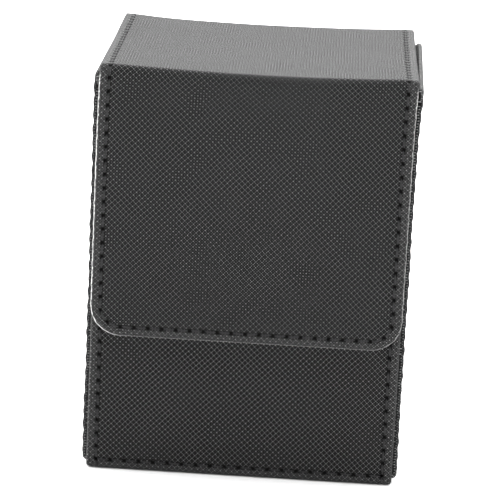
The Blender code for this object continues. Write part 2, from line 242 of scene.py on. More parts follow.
def add_object(name, data):
    """Puts a mesh, a light or the camera in the scene."""
    obj = bpy.data.objects.new(name, data)
    bpy.context.scene.collection.objects.link(obj)
    return obj


def add_camera():
    """A long lens in front of the box, a little to its right and looking down on it."""
    data = bpy.data.cameras.new("camera")
    data.sensor_width = 36.0
    data.lens = CAMERA_LENS
    data.clip_start = 0.01
    data.clip_end = 50.0
    camera = add_object("camera", data)
    heading = Matrix.Rotation(math.radians(CAMERA_HEADING), 4, "Z")
    tilt = Matrix.Rotation(math.radians(90.0 - CAMERA_LOOKS_DOWN), 4, "X")
    roll = Matrix.Rotation(math.radians(CAMERA_ROLL), 4, "Z")
    camera.matrix_world = Matrix.Translation(CAMERA_PLACE) @ heading @ tilt @ roll
    bpy.context.scene.camera = camera


def add_area_light(name, location, target, size, power):
    """A square soft box that faces its target."""
    data = bpy.data.lights.new(name, "AREA")
    data.shape = "SQUARE"
    data.size = size
    data.energy = power
    light = add_object(name, data)
    light.location = location
    direction = Vector(target) - Vector(location)
    light.rotation_euler = direction.to_track_quat("-Z", "Y").to_euler()


def add_world():
    """White all round: brightest behind the box and to its left, dimmest in front of it."""
    world = bpy.data.worlds.new("studio")
    bpy.context.scene.world = world
    nodes = Nodes(world, "Background")
    split = nodes.split(nodes.place_coordinates("Generated"))
    from_front_to_back = nodes.remap(split.outputs["Y"], -0.6, 0.5, 0.3, 5.0)
    to_the_left = nodes.remap(split.outputs["X"], -0.2, -0.9, 0.0, 1.2)
    to_the_right = nodes.remap(split.outputs["X"], 0.2, 0.9, 0.0, 0.5)
    level = nodes.math("ADD", from_front_to_back, to_the_left)
    nodes.set("Strength", nodes.math("ADD", level, to_the_right))
    nodes.set("Color", (1.0, 1.0, 1.0, 1.0))


def add_stage():
    """A white floor, so wide that its edge lies outside every view."""
    mesh = bpy.data.meshes.new("floor")
    reach = 6.0
    corners = [(-reach, -reach, 0.0), (reach, -reach, 0.0), (reach, reach, 0.0), (-reach, reach, 0.0)]
    mesh.from_pydata(corners, [], [(0, 1, 2, 3)])
    floor = add_object("floor", mesh)
    nodes = Nodes(bpy.data.materials.new("floor"))
    nodes.set("Base Color", (0.93, 0.93, 0.93, 1.0))
    nodes.set("Roughness", 0.9)
    nodes.set("Specular IOR Level", 0.0)
    mesh.materials.append(nodes.owner)


def add_lights():
    """Three soft boxes about the middle of the box."""
    middle = (0.0, 0.0, HEIGHT / 2)
    add_area_light("overhead", (0.0, 0.1, 1.3), middle, 1.2, 6.0)
    add_area_light("left", (-1.1, -0.2, 0.45), middle, 0.9, 4.0)
    add_area_light("right", (1.1, -0.3, 0.5), middle, 0.7, 2.0)


# ---------------------------------------------------------------- materials


def weave_ridge(nodes, across, sign, wobble, second_thread):
    """Ridges of one direction of the diagonal weave; every second thread stands a little higher."""
    u, v = across
    diagonal = nodes.math("MULTIPLY_ADD", v, sign, u)
    turns = nodes.math("MULTIPLY_ADD", diagonal, 1.0 / DIAGONAL_PITCH, wobble)
    phase = nodes.math("MULTIPLY", turns, 2.0 * math.pi)
    wave = nodes.math("MULTIPLY_ADD", nodes.math("COSINE", phase), 0.5, 0.5)
    slow = nodes.math("COSINE", nodes.math("MULTIPLY", phase, 0.5))
    strength = nodes.math("MULTIPLY_ADD", slow, second_thread, 1.0)
    return nodes.math("MULTIPLY", wave, strength)


def stitch_marks(nodes):
    """Distance inside the nearest seam in millimetres, and a mask of the stitch holes and the crease along
    the seam, which deepens them in the bump and carries their painted shade.
    """
    split = nodes.split(nodes.coordinates("seam"))
    inside, number = split.outputs["X"], split.outputs["Y"]
    off_hole = nodes.math("SUBTRACT", nodes.math("FRACT", nodes.math("ADD", number, 0.5)), 0.5)
    across = nodes.math("POWER", nodes.math("DIVIDE", nodes.math("ABSOLUTE", inside), HOLE_ACROSS), 2.0)
    along = nodes.math("MULTIPLY", nodes.math("ABSOLUTE", off_hole), STITCH / MM / HOLE_ALONG)
    reach = nodes.math("ADD", across, nodes.math("POWER", along, 2.0))
    spot = nodes.math("MULTIPLY", nodes.math("EXPONENT", nodes.math("MULTIPLY", reach, -1.0)), 3.0)
    crease = nodes.math("MULTIPLY", nodes.math("EXPONENT", nodes.math("MULTIPLY", across, -1.6)), 0.85)
    return inside, nodes.math("MINIMUM", nodes.math("MAXIMUM", spot, crease), 1.0)


def make_leather(name, second_thread):
    """Black synthetic leather embossed with a fine diagonal weave, flatter along the sewn borders. Its
    colour follows the weave's height, as painted highlights on the ridges and painted shade in the
    valleys.

    Second_thread says how much higher every second thread of the weave stands.
    """
    # The two weave colours are painted shade for the valleys and a painted highlight for the ridges.
    valley = (0.0, 0.0, 0.0)
    ridge_highlight = (0.28, 0.28, 0.281)
    rubbed = (0.035, 0.035, 0.036)
    painted_hole_shade = (0.0003, 0.0003, 0.0003)
    nodes = Nodes(bpy.data.materials.new(name))
    sheet = nodes.coordinates("sheet")
    split = nodes.split(sheet)
    across = (split.outputs["X"], split.outputs["Y"])
    drift = nodes.math("MULTIPLY", nodes.noise(sheet, 0.12, 1.0), 0.8)
    first = weave_ridge(nodes, across, 1.0, drift, second_thread)
    second = weave_ridge(nodes, across, -1.0, drift, second_thread)
    ridges = nodes.math("MULTIPLY", nodes.math("ADD", first, second), 0.5)
    for place in across:
        angle = nodes.math("MULTIPLY", place, 2.0 * math.pi / DIAGONAL_PITCH)
        ridges = nodes.math("MULTIPLY_ADD", nodes.math("COSINE", angle), 0.1, ridges)
    ridges = nodes.math("POWER", nodes.math("MAXIMUM", ridges, 0.0), 8.0)
    grain = nodes.remap(nodes.noise(sheet, 2.6, 2.0), 0.35, 0.65, 0.0, 1.0)
    woven = nodes.math("MULTIPLY", ridges, nodes.math("MULTIPLY_ADD", grain, 0.6, 0.7))
    inside, hole = stitch_marks(nodes)
    border = nodes.remap(inside, 0.0, -0.5, 0.0, 0.30)
    height = nodes.number_mix(border, woven, nodes.math("MULTIPLY", grain, 0.36))
    # painted shade in the weave's valleys and painted highlight on its ridges, mixed by height
    shade = nodes.mix(height, valley, ridge_highlight)
    patches = nodes.remap(nodes.noise(sheet, 0.06, 2.0), 0.3, 0.7, 0.0, 0.06)
    worn = nodes.mix(patches, shade, rubbed)
    # painted shade in the stitch holes and along each seam's crease
    nodes.colour(nodes.mix(hole, worn, painted_hole_shade))
    nodes.set("Roughness", nodes.remap(height, 0.0, 1.0, 0.68, 0.34))
    nodes.set("Specular IOR Level", 0.10)
    nodes.bump(nodes.math("MULTIPLY_ADD", hole, -2.5, height), 0.12 * MM, 0.8)
    return nodes.owner


def make_cut_edge():
    """The pale backing that shows where synthetic leather is cut, dark where the edge is painted. Its
    paleness is partly a painted highlight, strongest on the sides that face the lamps.
    """
    nodes = Nodes(bpy.data.materials.new("leather_cut_edge"))
    fibres = nodes.remap(nodes.noise(nodes.place_coordinates(), 2500.0, 3.0), 0.35, 0.65, 0.0, 1.0)
    pale = nodes.mix(fibres, (0.30, 0.30, 0.30), (0.75, 0.75, 0.74))
    # mixes dark edge paint with pale backing that also carries a painted highlight
    nodes.colour(nodes.mix(nodes.attribute("pale_edge_and_highlight"), (0.010, 0.010, 0.010), pale))
    nodes.set("Roughness", 0.7)
    nodes.set("Specular IOR Level", 0.2)
    nodes.bump(fibres, 0.05 * MM, 0.6)
    return nodes.owner


def make_suede():
    """Black brushed microfibre, with soft patches where the nap lies another way."""
    nodes = Nodes(bpy.data.materials.new("microfibre"))
    place = nodes.place_coordinates()
    nap = nodes.noise(place, 60.0, 3.0)
    fibres = nodes.noise(place, 5000.0, 2.0)
    shade = nodes.mix(nodes.remap(nap, 0.3, 0.7, 0.0, 1.0), (0.010, 0.010, 0.011), (0.022, 0.022, 0.023))
    nodes.colour(nodes.mix(nodes.math("MULTIPLY", fibres, 0.5), shade, (0.035, 0.035, 0.037)))
    nodes.set("Roughness", 0.95)
    nodes.set("Sheen Weight", 0.15)
    nodes.set("Sheen Roughness", 0.5)
    nodes.set("Specular IOR Level", 0.2)
    nodes.bump(fibres, 0.06 * MM, 0.7)
    return nodes.owner


def make_thread():
    """Black polyester sewing thread, whose twist shows as slanting ridges."""
    nodes = Nodes(bpy.data.materials.new("sewing_thread"))
    split = nodes.split(nodes.coordinates("sheet"))
    slant = nodes.math("MULTIPLY_ADD", split.outputs["Y"], 2.0, split.outputs["X"])
    twist = nodes.math("SINE", nodes.math("MULTIPLY", slant, 2.0 * math.pi))
    height = nodes.math("MULTIPLY_ADD", twist, 0.5, 0.5)
    nodes.colour(nodes.mix(height, (0.003, 0.003, 0.003), (0.025, 0.025, 0.026)))
    nodes.set("Roughness", 0.6)
    nodes.set("Specular IOR Level", 0.3)
    nodes.bump(height, 0.05 * MM, 0.6)
    return nodes.owner


def make_board():
    """Grey pulp board with darker flecks."""
    nodes = Nodes(bpy.data.materials.new("grey_board"))
    place = nodes.place_coordinates()
    flecks = nodes.noise(place, 900.0, 4.0)
    fleck = nodes.remap(flecks, 0.35, 0.65, 0.0, 1.0)
    nodes.colour(nodes.mix(fleck, (0.05, 0.05, 0.05), (0.10, 0.098, 0.095)))
    nodes.set("Roughness", 0.9)
    nodes.bump(flecks, 0.05 * MM, 0.5)
    return nodes.owner


def make_magnet():
    """Nickel plate, lightly scuffed."""
    nodes = Nodes(bpy.data.materials.new("nickel_plate"))
    scuffs = nodes.noise(nodes.place_coordinates(), 700.0, 3.0)
    nodes.colour(nodes.mix(scuffs, (0.60, 0.59, 0.57), (0.78, 0.77, 0.75)))
    nodes.set("Metallic", 1.0)
    nodes.set("Roughness", nodes.remap(scuffs, 0.3, 0.7, 0.2, 0.4))
    return nodes.owner


# ---------------------------------------------------------------- shapes


class FoldedPath:
    """A line across the Y-Z plane that folds square to its left; its outer side is on its right."""

    def __init__(self, corners, radii):
        self.pieces = []
        self.folds = []  # where each fold begins and ends along the path
        self.length = 0.0
        points = [Vector(corner) for corner in corners]
        start = points[0]
        for index, corner in enumerate(points[1:-1]):
            arriving = (corner - points[index]).normalized()
            leaving = (points[index + 2] - corner).normalized()
            radius = radii[index]
            self.add_line(start, corner - arriving * radius)
            centre = corner + (leaving - arriving) * radius
            self.pieces.append(("arc", self.length, centre, arriving, leaving, radius))
            self.folds.append((self.length, self.length + radius * math.pi / 2))
            self.length += radius * math.pi / 2
            start = corner + leaving * radius
        self.add_line(start, points[-1])

    def add_line(self, start, end):
        direction = (end - start).normalized()
        self.pieces.append(("line", self.length, start, direction, None, None))
        self.length += (end - start).length

    def place(self, along, height):
        """Y and Z of points at given lengths along the path and heights above its outer side."""
        y = np.zeros(np.broadcast(along, height).shape)
        z = np.zeros_like(y)
        along = along + np.zeros_like(y)
        height = height + np.zeros_like(y)
        starts = [piece[1] for piece in self.pieces] + [np.inf]
        starts[0] = -np.inf
        for index, (kind, begin, origin, first, second, radius) in enumerate(self.pieces):
            here = (along >= starts[index]) & (along < starts[index + 1])
            run = along[here] - begin
            lift = height[here]
            if kind == "line":
                y[here] = origin.x + first.x * run + first.y * lift
                z[here] = origin.y + first.y * run - first.x * lift
            else:
                angle = run / radius
                reach = radius + lift
                y[here] = origin.x + reach * (first.x * np.sin(angle) - second.x * np.cos(angle))
                z[here] = origin.y + reach * (first.y * np.sin(angle) - second.y * np.cos(angle))
        return y, z


def sag_drop(x, y, z):
    """How far the lid's leather dips in the middle of its width, less its lift along the back."""
    across = np.clip(x / HALF_STRIP, -1.0, 1.0)
    backward = smooth(y / BACK)
    lift = BACK_LIFT + CORNER_LIFT * (1.0 - 0.5 * across) * across**6
    dip = SAG * (1.0 - across**2) - lift * backward
    return dip * smooth((z - SAG_START) / (HEIGHT - SAG_START))


def lean(y, z):
    """Sideways drift of the lid, growing from the hinge to the front fold and fading down the flap."""
    forward = np.clip((HINGE_FRONT - y) / (HINGE_FRONT - FLAP_FRONT), 0.0, 1.0)
    upper = 0.2 + 0.8 * np.exp((z - HEIGHT) / (9.0 * MM))
    return LEAN * forward**2 * upper


def on_path(path, base=None, sagging=0.0):
    """A surface that puts points across, along and above a folded path into space.

    Base adds a height by place on the sheet, and sagging is the share of the lid's sag and lean it takes.
    """

    def surface(u, v, height):
        lifted = height + base(u, v) if base else height
        y, z = path.place(v, lifted)
        z = np.maximum(z, LEAST_HEIGHT)
        x = u + np.zeros_like(y)
        if sagging:
            return np.stack([x + lean(y, z), y, z - sagging * sag_drop(x, y, z)], axis=-1)
        return np.stack([x, y, z], axis=-1)

    return surface


def rim_distance(u, v, u_span, v_span, radii):
    """Distance inward from the outline of a rectangle with a radius at each corner, anticlockwise."""
    from_sides = (u - u_span[0], u_span[1] - u, v - v_span[0], v_span[1] - v)
    distance = np.minimum.reduce([side + np.zeros_like(u + v) for side in from_sides])
    for radius, (side_u, side_v) in zip(radii, ((0, 2), (1, 2), (1, 3), (0, 3))):
        a = from_sides[side_u] + np.zeros_like(distance)
        b = from_sides[side_v] + np.zeros_like(distance)
        corner = (a < radius) & (b < radius)
        distance = np.where(corner, radius - np.hypot(radius - a, radius - b), distance)
    return distance


def rounding(distance, radius):
    """How far a rounded edge falls away at a distance from its outline."""
    inside = np.clip(radius - distance, 0.0, radius)
    return radius - np.sqrt(radius**2 - inside**2)


def smooth(share):
    """An S-shaped step from 0 to 1."""
    held = np.clip(share, 0.0, 1.0)
    return held * held * (3.0 - 2.0 * held)


def bell(value, width):
    """A bell curve: 1 at a value of 0, and about a third at the width."""
    return np.exp(-((value / width) ** 2))


def whole_pitch(length):
    """The spacing that fits whole stitches into a length."""
    return length / round(length / STITCH)


def hole_offset(along, pitch):
    """Distance along a seam to its nearest hole."""
    return along - np.round(along / pitch) * pitch


def seam_relief(off_line, along, pitch):
    """Height of the leather around a seam: a pulled-down valley with a deep hole at each stitch's end."""
    to_hole = hole_offset(along, pitch)
    valley = 0.12 * MM * bell(off_line, 0.45 * MM)
    pull = 0.08 * MM * bell(off_line, 1.3 * MM) * bell(to_hole, 1.0 * MM)
    hole = 0.45 * MM * bell(off_line, 0.44 * MM) * bell(to_hole, 0.60 * MM)
    return -(valley + pull + hole)


def seam_place(inside, along, pitch):
    """Where points lie about a seam: millimetres inside it, and stitches along it."""
    return np.stack([inside / MM, along / pitch], -1)


def pillow(distance, depth):
    """How far a padded sheet's face falls away toward its sewn edge."""
    share = np.clip(distance / BOARD_INSET, 0.0, 1.0)
    return -depth * (1.0 - share) ** 2


def fray(along):
    """Unevenness of a cut edge, from -1 to 1."""
    waves = ((1.9 * MM, 0.0, 0.40), (0.97 * MM, 1.3, 0.35), (0.61 * MM, 2.1, 0.25))
    turns = 2.0 * math.pi * along
    return sum(share * np.sin(turns / length + phase) for length, phase, share in waves)


def swell(u, v):
    """Slow unevenness of glued leather: broad shallow waves with shorter ones across them."""
    first = np.sin(u / (11.0 * MM) + 0.7) * np.sin(v / (17.0 * MM) + 1.9)
    second = np.sin((u + v) / (7.0 * MM)) * np.sin((u - v) / (9.0 * MM) + 0.4)
    return 0.035 * MM * first + 0.018 * MM * second


def steps(low, high, spacing):
    """Even steps from low to high, no further apart than the spacing."""
    count = max(1, int(math.ceil((high - low) / spacing)))
    return np.linspace(low, high, count + 1)


def edge_insets(middle, coarse):
    """Insets from an edge to the middle: fine over the rounding and the seam, coarse beyond."""
    rounded = EDGE_RADIUS * (1.0 - np.cos(np.linspace(0.0, math.pi / 2, 5)))
    fine = steps(EDGE_RADIUS, SEAM_INSET + 1.2 * MM, 0.26 * MM)
    rest = steps(fine[-1], middle, coarse)
    return np.concatenate([rounded, fine[1:], rest[1:]])


def strip_columns(coarse):
    """Places across the strip as shares of its half width, from -1 to 1."""
    shares = 1.0 - edge_insets(HALF_STRIP, coarse) / HALF_STRIP
    return np.concatenate([-shares, shares[-2::-1]])


def border_of(grid):
    """The outline of a grid of values, in order round it."""
    return np.concatenate([grid[0, :-1], grid[:-1, -1], grid[-1, :0:-1], grid[:0:-1, 0]])


def add_uv(mesh, name, places):
    """A UV layer from a pair of numbers for each vertex."""
    loop_vertices = np.zeros(len(mesh.loops), np.int32)
    mesh.loops.foreach_get("vertex_index", loop_vertices)
    layer = mesh.uv_layers.new(name=name)
    layer.data.foreach_set("uv", places[loop_vertices].astype(np.float32).ravel())


def add_sheet(name, outer, inner, places, materials, lip=None, seam=None, pale_edge_and_highlight=None):
    """A closed sheet between two matching grids of points, with its rim in the last material.

    Places are the points' millimetres across and along the flat sheet. Lip is a third grid, whose
    outline makes a bevelled corner between face and rim. Seam is a grid of places about the nearest
    seam, and the last argument says how pale the cut edge is at its face, as raw backing and partly as a
    painted highlight; it darkens toward the inner grid.
    """
    rows, columns = outer.shape[:2]
    count = rows * columns
    index = np.arange(count).reshape(rows, columns)
    corners = [index[:-1, :-1], index[:-1, 1:], index[1:, 1:], index[1:, :-1]]
    quads = np.stack(corners, axis=-1).reshape(-1, 4)
    faces = [quads, quads[:, ::-1] + count]
    vertices = [outer.reshape(-1, 3), inner.reshape(-1, 3)]
    rings = [border_of(index)]
    if lip is not None:
        vertices.append(border_of(lip))
        rings.append(2 * count + np.arange(len(rings[0])))
    rings.append(border_of(index) + count)
    for near, far in zip(rings, rings[1:]):
        faces.append(np.stack([near, np.roll(near, -1), np.roll(far, -1), far], axis=-1))
    faces = np.concatenate(faces)
    vertices = np.concatenate(vertices)

    def for_vertices(grid):
        flat = grid.reshape(count, -1)
        outline = border_of(grid).reshape(len(rings[0]), -1)
        return np.concatenate([flat, flat, outline])[:len(vertices)]

    mesh = bpy.data.meshes.new(name)
    mesh.from_pydata(vertices.tolist(), [], faces.tolist())
    for material in materials:
        mesh.materials.append(material)
    flags = np.zeros(len(faces), np.int32)
    flags[len(quads) * 2:] = len(materials) - 1
    mesh.polygons.foreach_set("material_index", flags)
    add_uv(mesh, "sheet", for_vertices(places / MM))
    if seam is None:
        seam = np.broadcast_to((CLEAR_OF_SEAMS, 0.0), (rows, columns, 2))
    add_uv(mesh, "seam", for_vertices(seam))
    # pale cut edge: raw backing, partly a painted highlight
    if pale_edge_and_highlight is not None:
        pale = for_vertices(pale_edge_and_highlight).astype(np.float32).ravel()
        pale[count:2 * count] = 0.0
        attribute = mesh.attributes.new("pale_edge_and_highlight", "FLOAT", "POINT")
        attribute.data.foreach_set("value", pale)
    turn_outward(mesh)
    mesh.shade_smooth()
    mesh.set_sharp_from_angle(angle=math.radians(40.0))
    return add_object(name, mesh)


def turn_outward(mesh):
    """Makes every face of a closed mesh look outward."""
    data = bmesh.new()
    data.from_mesh(mesh)
    bmesh.ops.recalc_face_normals(data, faces=data.faces)
    data.to_mesh(mesh)
    data.free()


def add_stitches(name, runs, material):
    """One mesh of single stitches. Each run is a surface, a curve on it, its length and its hole pitch.

    A stitch rises from one hole, arches just under the leather's face and goes down the next. It lies
    slightly aslant, and it is wider than it is high.
    """
    sides = 8
    rings = 9
    first_share = 0.10
    span = 0.80
    half_slant = 0.09 * MM
    deepest = -0.60 * MM
    arch_height = 0.52 * MM
    widening = 1.15
    flattening = 0.8
    twists = 5.0
    turn = np.arange(sides) / sides * 2.0 * math.pi
    shares = np.linspace(0.0, 1.0, rings)
    vertices = []
    faces = []
    coordinates = []
    for surface, curve, length, pitch in runs:
        for number in range(int(round(length / pitch))):
            along = (number + first_share + span * shares) * pitch
            slant = half_slant * (shares - 0.5) * 2.0
            height = deepest + arch_height * np.sqrt(np.sin(shares * math.pi))
            u, v, side_u, side_v = curve(along)
            centre = surface(u + side_u * slant, v + side_v * slant, height)
            beside = surface(u + side_u * MM, v + side_v * MM, height) - surface(u, v, height)
            beside /= np.linalg.norm(beside, axis=1, keepdims=True)
            above = surface(u, v, height + MM) - surface(u, v, height)
            above /= np.linalg.norm(above, axis=1, keepdims=True)
            plump = THREAD_RADIUS * (0.75 + 0.25 * np.sin(shares * math.pi))
            ring = centre[:, None] + plump[:, None, None] * (
                np.cos(turn)[None, :, None] * beside[:, None] * widening
                + np.sin(turn)[None, :, None] * above[:, None] * flattening
            )
            first = len(vertices)
            vertices.extend(ring.reshape(-1, 3).tolist())
            for row in range(rings):
                coordinates.extend((side / sides, shares[row] * twists) for side in range(sides))
            for row in range(rings - 1):
                for side in range(sides):
                    here = first + row * sides
                    beyond = (side + 1) % sides
                    faces.append((here + side, here + beyond, here + sides + beyond, here + sides + side))
            faces.append(tuple(first + side for side in range(sides))[::-1])
            faces.append(tuple(first + (rings - 1) * sides + side for side in range(sides)))
    mesh = bpy.data.meshes.new(name)
    mesh.from_pydata(vertices, [], faces)
    mesh.materials.append(material)
    layer = mesh.uv_layers.new(name="sheet")
    for loop in mesh.loops:
        layer.data[loop.index].uv = coordinates[loop.vertex_index]
    turn_outward(mesh)
    mesh.shade_smooth()
    return add_object(name, mesh)


def edge_runs(surface, v_start, v_end, pitch):
    """A seam along each edge of the strip, in whole stitches from its start."""

    def curve(side):
        def place(along):
            same = np.ones_like(along)
            return side * SEAM_X * same, v_start + along, same, 0.0 * same

        return place

    return [(surface, curve(side), v_end - v_start, pitch) for side in (-1, 1)]


def cross_run(surface, v, reach, pitch):
    """A seam across the strip."""

    def curve(along):
        same = np.ones_like(along)
        return along - reach, v * same, 0.0 * same, same

    return surface, curve, 2.0 * reach, pitch


# ---------------------------------------------------------------- leather of lid and flap


class FlapSeam:
    """The seam round the free edges of lid and flap, the same from both sides to the flap's middle."""

    def __init__(self, path):
        self.end = path.length
        self.straight = self.end - FLAP_CORNER_RADIUS
        self.radius = FLAP_CORNER_RADIUS - SEAM_INSET
        self.corner = self.radius * math.pi / 2
        self.across = HALF_STRIP - FLAP_CORNER_RADIUS
        self.half_length = self.straight + self.corner + self.across
        self.pitch = whole_pitch(self.half_length)

    def locate(self, u, v):
        """Distance from the free outline, and length along the seam, of points on the sheet."""
        distance = flap_distance(u, v, self.end)
        in_from_side = FLAP_CORNER_RADIUS - (HALF_STRIP - np.abs(u))
        in_from_end = FLAP_CORNER_RADIUS - (self.end - v)
        angle = np.arctan2(np.maximum(in_from_end, 0.0), np.maximum(in_from_side, 1e-9))
        round_corner = self.straight + self.radius * angle
        along_end = self.straight + self.corner + np.maximum(self.across - np.abs(u), 0.0)
        along = np.where(v < self.straight, v, round_corner)
        near_end = (np.abs(u) < self.across) & (self.end - v < HALF_STRIP - np.abs(u))
        return distance, np.where(near_end, along_end, along)

    def curve(self, side):
        """Places along the seam on one side, with the direction across the seam there."""

        def place(along):
            angle = np.clip((along - self.straight) / self.radius, 0.0, math.pi / 2)
            across = self.across + self.radius * np.cos(angle)
            across = across - np.maximum(along - self.straight - self.corner, 0.0)
            down = np.minimum(along, self.straight) + self.radius * np.sin(angle)
            return side * across, down, side * np.cos(angle), np.sin(angle)

        return place


def flap_rows(path, spacing, corner_steps=36):
    """Places along the lid and flap, closer together in the fold and round the flap's lower corners."""
    begin, end = path.folds[0]
    angles = np.linspace(math.pi / 2, 0.0, corner_steps)
    corner = path.length - FLAP_CORNER_RADIUS * (1.0 - np.cos(angles))
    runs = [
        steps(0.0, begin, spacing),
        steps(begin, end, 0.15 * MM)[1:],
        steps(end, path.length - FLAP_CORNER_RADIUS, spacing)[1:],
        corner[1:],
    ]
    return np.concatenate(runs)


def flap_grid(path, spacing, inset, unevenness, columns):
    """A grid over lid and flap whose sides follow the round corners, drawn in by a frayed inset."""
    radius = FLAP_CORNER_RADIUS
    v = flap_rows(path, spacing)[:, None]
    from_end = np.clip(path.length - v, 0.0, radius)
    half = HALF_STRIP - radius + np.sqrt(np.maximum(radius**2 - (radius - from_end) ** 2, 0.0))
    wander = EDGE_WANDER * fray(v / 2.6) * smooth((v - path.folds[0][1]) / (5.0 * MM))
    drawn_in = inset * (1.0 + unevenness * fray(v)) + wander
    u = columns[None, :] * half * (1.0 - drawn_in / HALF_STRIP)
    near_end = np.clip(1.0 - (path.length - v) / radius, 0.0, 1.0)
    return u, v - inset * (1.0 + unevenness * fray(u)) * near_end


def flap_distance(u, v, length):
    """Distance from the free outline of lid and flap."""
    radii = (0.0, 0.0, FLAP_CORNER_RADIUS, FLAP_CORNER_RADIUS)
    return rim_distance(u, v, (-HALF_STRIP, HALF_STRIP), (-1.0, length), radii)


def flap_edge_wear_and_highlight(u, below_fold):
    """How pale the flap's cut edge is, as raw backing and painted highlight: most down its left side, lit
    from the left, and at the top of its right side, above where the side panel shades it.
    """
    leftward = -u / HALF_STRIP
    left_side = smooth((leftward - 0.72) / 0.25)
    right_side = smooth((-leftward - 0.9) / 0.08)
    near_fold = np.exp(-np.maximum(below_fold, 0.0) / (10.0 * MM))
    # paleness of the cut edge: raw backing, with a painted highlight down the lit left side and at the top
    # of the right side
    worn = 0.30 + 0.70 * left_side + 0.4 * right_side * near_fold
    return worn * smooth(below_fold / (3.0 * MM)) * (0.8 + 0.2 * fray(below_fold + u))


def add_lid_and_flap(leather, cut_edge, thread, laid_from):
    """One leather sheet over the lid, round its front fold and down the flap, with its seam."""
    corners = [(HINGE_FRONT, HEIGHT), (FLAP_FRONT, HEIGHT), (FLAP_FRONT, FLAP_BOTTOM)]
    path = FoldedPath(corners, [FRONT_FOLD_RADIUS])
    seam = FlapSeam(path)

    def base(u, v):
        return pillow(flap_distance(u, v, path.length), PILLOW)

    surface = on_path(path, base, sagging=1.0)
    columns = strip_columns(0.56 * MM)
    spacing = 0.36 * MM
    u, v = flap_grid(path, spacing, EDGE_BEVEL, FLAP_FRAYING, columns)
    distance, along = seam.locate(u, v)
    height = seam_relief(distance - SEAM_INSET, along, seam.pitch)
    height = height - rounding(distance - EDGE_BEVEL, EDGE_RADIUS)
    height = height + swell(u, v) * np.clip(distance / (4.0 * MM), 0.0, 1.0)
    edge_u, edge_v = flap_grid(path, spacing, 0.0, 0.0, columns)
    sheet = add_sheet(
        "lid_and_flap_leather",
        surface(u, v, height),
        surface(edge_u, edge_v, -LEATHER),
        np.stack([u, v + laid_from], -1),
        [leather, cut_edge],
        lip=surface(edge_u, edge_v, -EDGE_DEPTH),
        seam=seam_place(distance - SEAM_INSET, along, seam.pitch),
        # pale cut edge, partly a painted highlight down the lit left side
        pale_edge_and_highlight=flap_edge_wear_and_highlight(u, v - path.folds[0][1]),
    )
    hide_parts("lid_cover", "front_fold_leather", "flap_cover")

    runs = [(surface, seam.curve(side), seam.half_length, seam.pitch) for side in (-1, 1)]
    stitches = add_stitches("lid_and_flap_stitches", runs, thread)
    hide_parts("lid_thread_left", "lid_thread_right", "flap_thread")

    for piece, slot in ((sheet, "leather"), (stitches, "thread")):
        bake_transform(piece)


def add_lining(name, surface, u, v, suede):
    """A lining under the boards, over a grid of places on its surface."""
    face = surface(u, v, -WALL + 0.0 * u)
    behind = surface(u, v, -WALL + LINING + 0.0 * u)
    return add_sheet(name, face, behind, np.stack([u, v], -1), [suede])


def add_lid_and_flap_lining(suede):
    """The lining under the lid, round the fold and down the flap, sewn up against the leather's edge."""
    corners = [(lining_high.y, HEIGHT), (FLAP_FRONT, HEIGHT), (FLAP_FRONT, FLAP_BOTTOM)]
    path = FoldedPath(corners, [INNER_FOLD_RADIUS])
    begin, end = path.folds[0]
    slack = WALL - LEATHER - LINING

    def base(u, v):
        """The lining rises to meet the leather past the boards' edges: along the rim and in the fold."""
        distance = flap_distance(u, v, path.length)
        to_rim = smooth(1.0 - distance / BOARD_INSET)
        in_fold = smooth(1.0 - np.abs(2.0 * (v - begin) / (end - begin) - 1.0))
        return slack * np.maximum(to_rim, in_fold) + pillow(distance, PILLOW)

    surface = on_path(path, base, sagging=LINING_SAG)
    u, v = flap_grid(path, 1.0 * MM, 0.2 * MM, 0.0, strip_columns(2.0 * MM))
    sheet = add_lining("lid_and_flap_lining", surface, u, v, suede)
    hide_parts("lid_lining", "front_fold_lining", "flap_lining")
    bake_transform(sheet)


# ---------------------------------------------------------------- leather of the body


def edge_pillow(u, v):
    """How far the body's leather falls away toward its side edges."""
    return pillow(HALF_STRIP - np.abs(u), PILLOW / 2)


def strip_relief(u, v, pitch, seam_start):
    """Height of a stretch of the strip with a seam along each side edge, and places about the seams."""
    distance = HALF_STRIP - np.abs(u)
    off_line = distance - SEAM_INSET
    height = seam_relief(off_line, v - seam_start, pitch) - rounding(distance - EDGE_BEVEL, EDGE_RADIUS)
    height = height + swell(u, v) * np.clip(distance / (4.0 * MM), 0.0, 1.0)
    return height, seam_place(off_line, v - seam_start, pitch)


def strip_grid(columns, rows, half_widths):
    """Matching grids for the face and for the edge of a stretch of the strip."""
    v = rows[:, None] + 0.0 * columns[None, :]
    edge_u = columns[None, :] * half_widths[:, None]
    drawn_in = EDGE_BEVEL * (1.0 + STRIP_FRAYING * fray(v))
    return edge_u * (1.0 - drawn_in / HALF_STRIP), edge_u, v


def add_strip(name, surface, grids, relief, laid_from, materials, thickness=LEATHER):
    """A stretch of the strip's leather from its grids and relief, with bevelled cut edges."""
    u, edge_u, v = grids
    height, seam = relief
    return add_sheet(
        name,
        surface(u, v, height),
        surface(edge_u, v, -thickness),
        np.stack([u, v + laid_from], -1),
        materials,
        lip=surface(edge_u, v, -EDGE_DEPTH),
        seam=seam,
        # cut edge paler on the left than the right: a painted highlight from the light on the left
        pale_edge_and_highlight=0.05 - 0.03 * np.sign(u),
    )


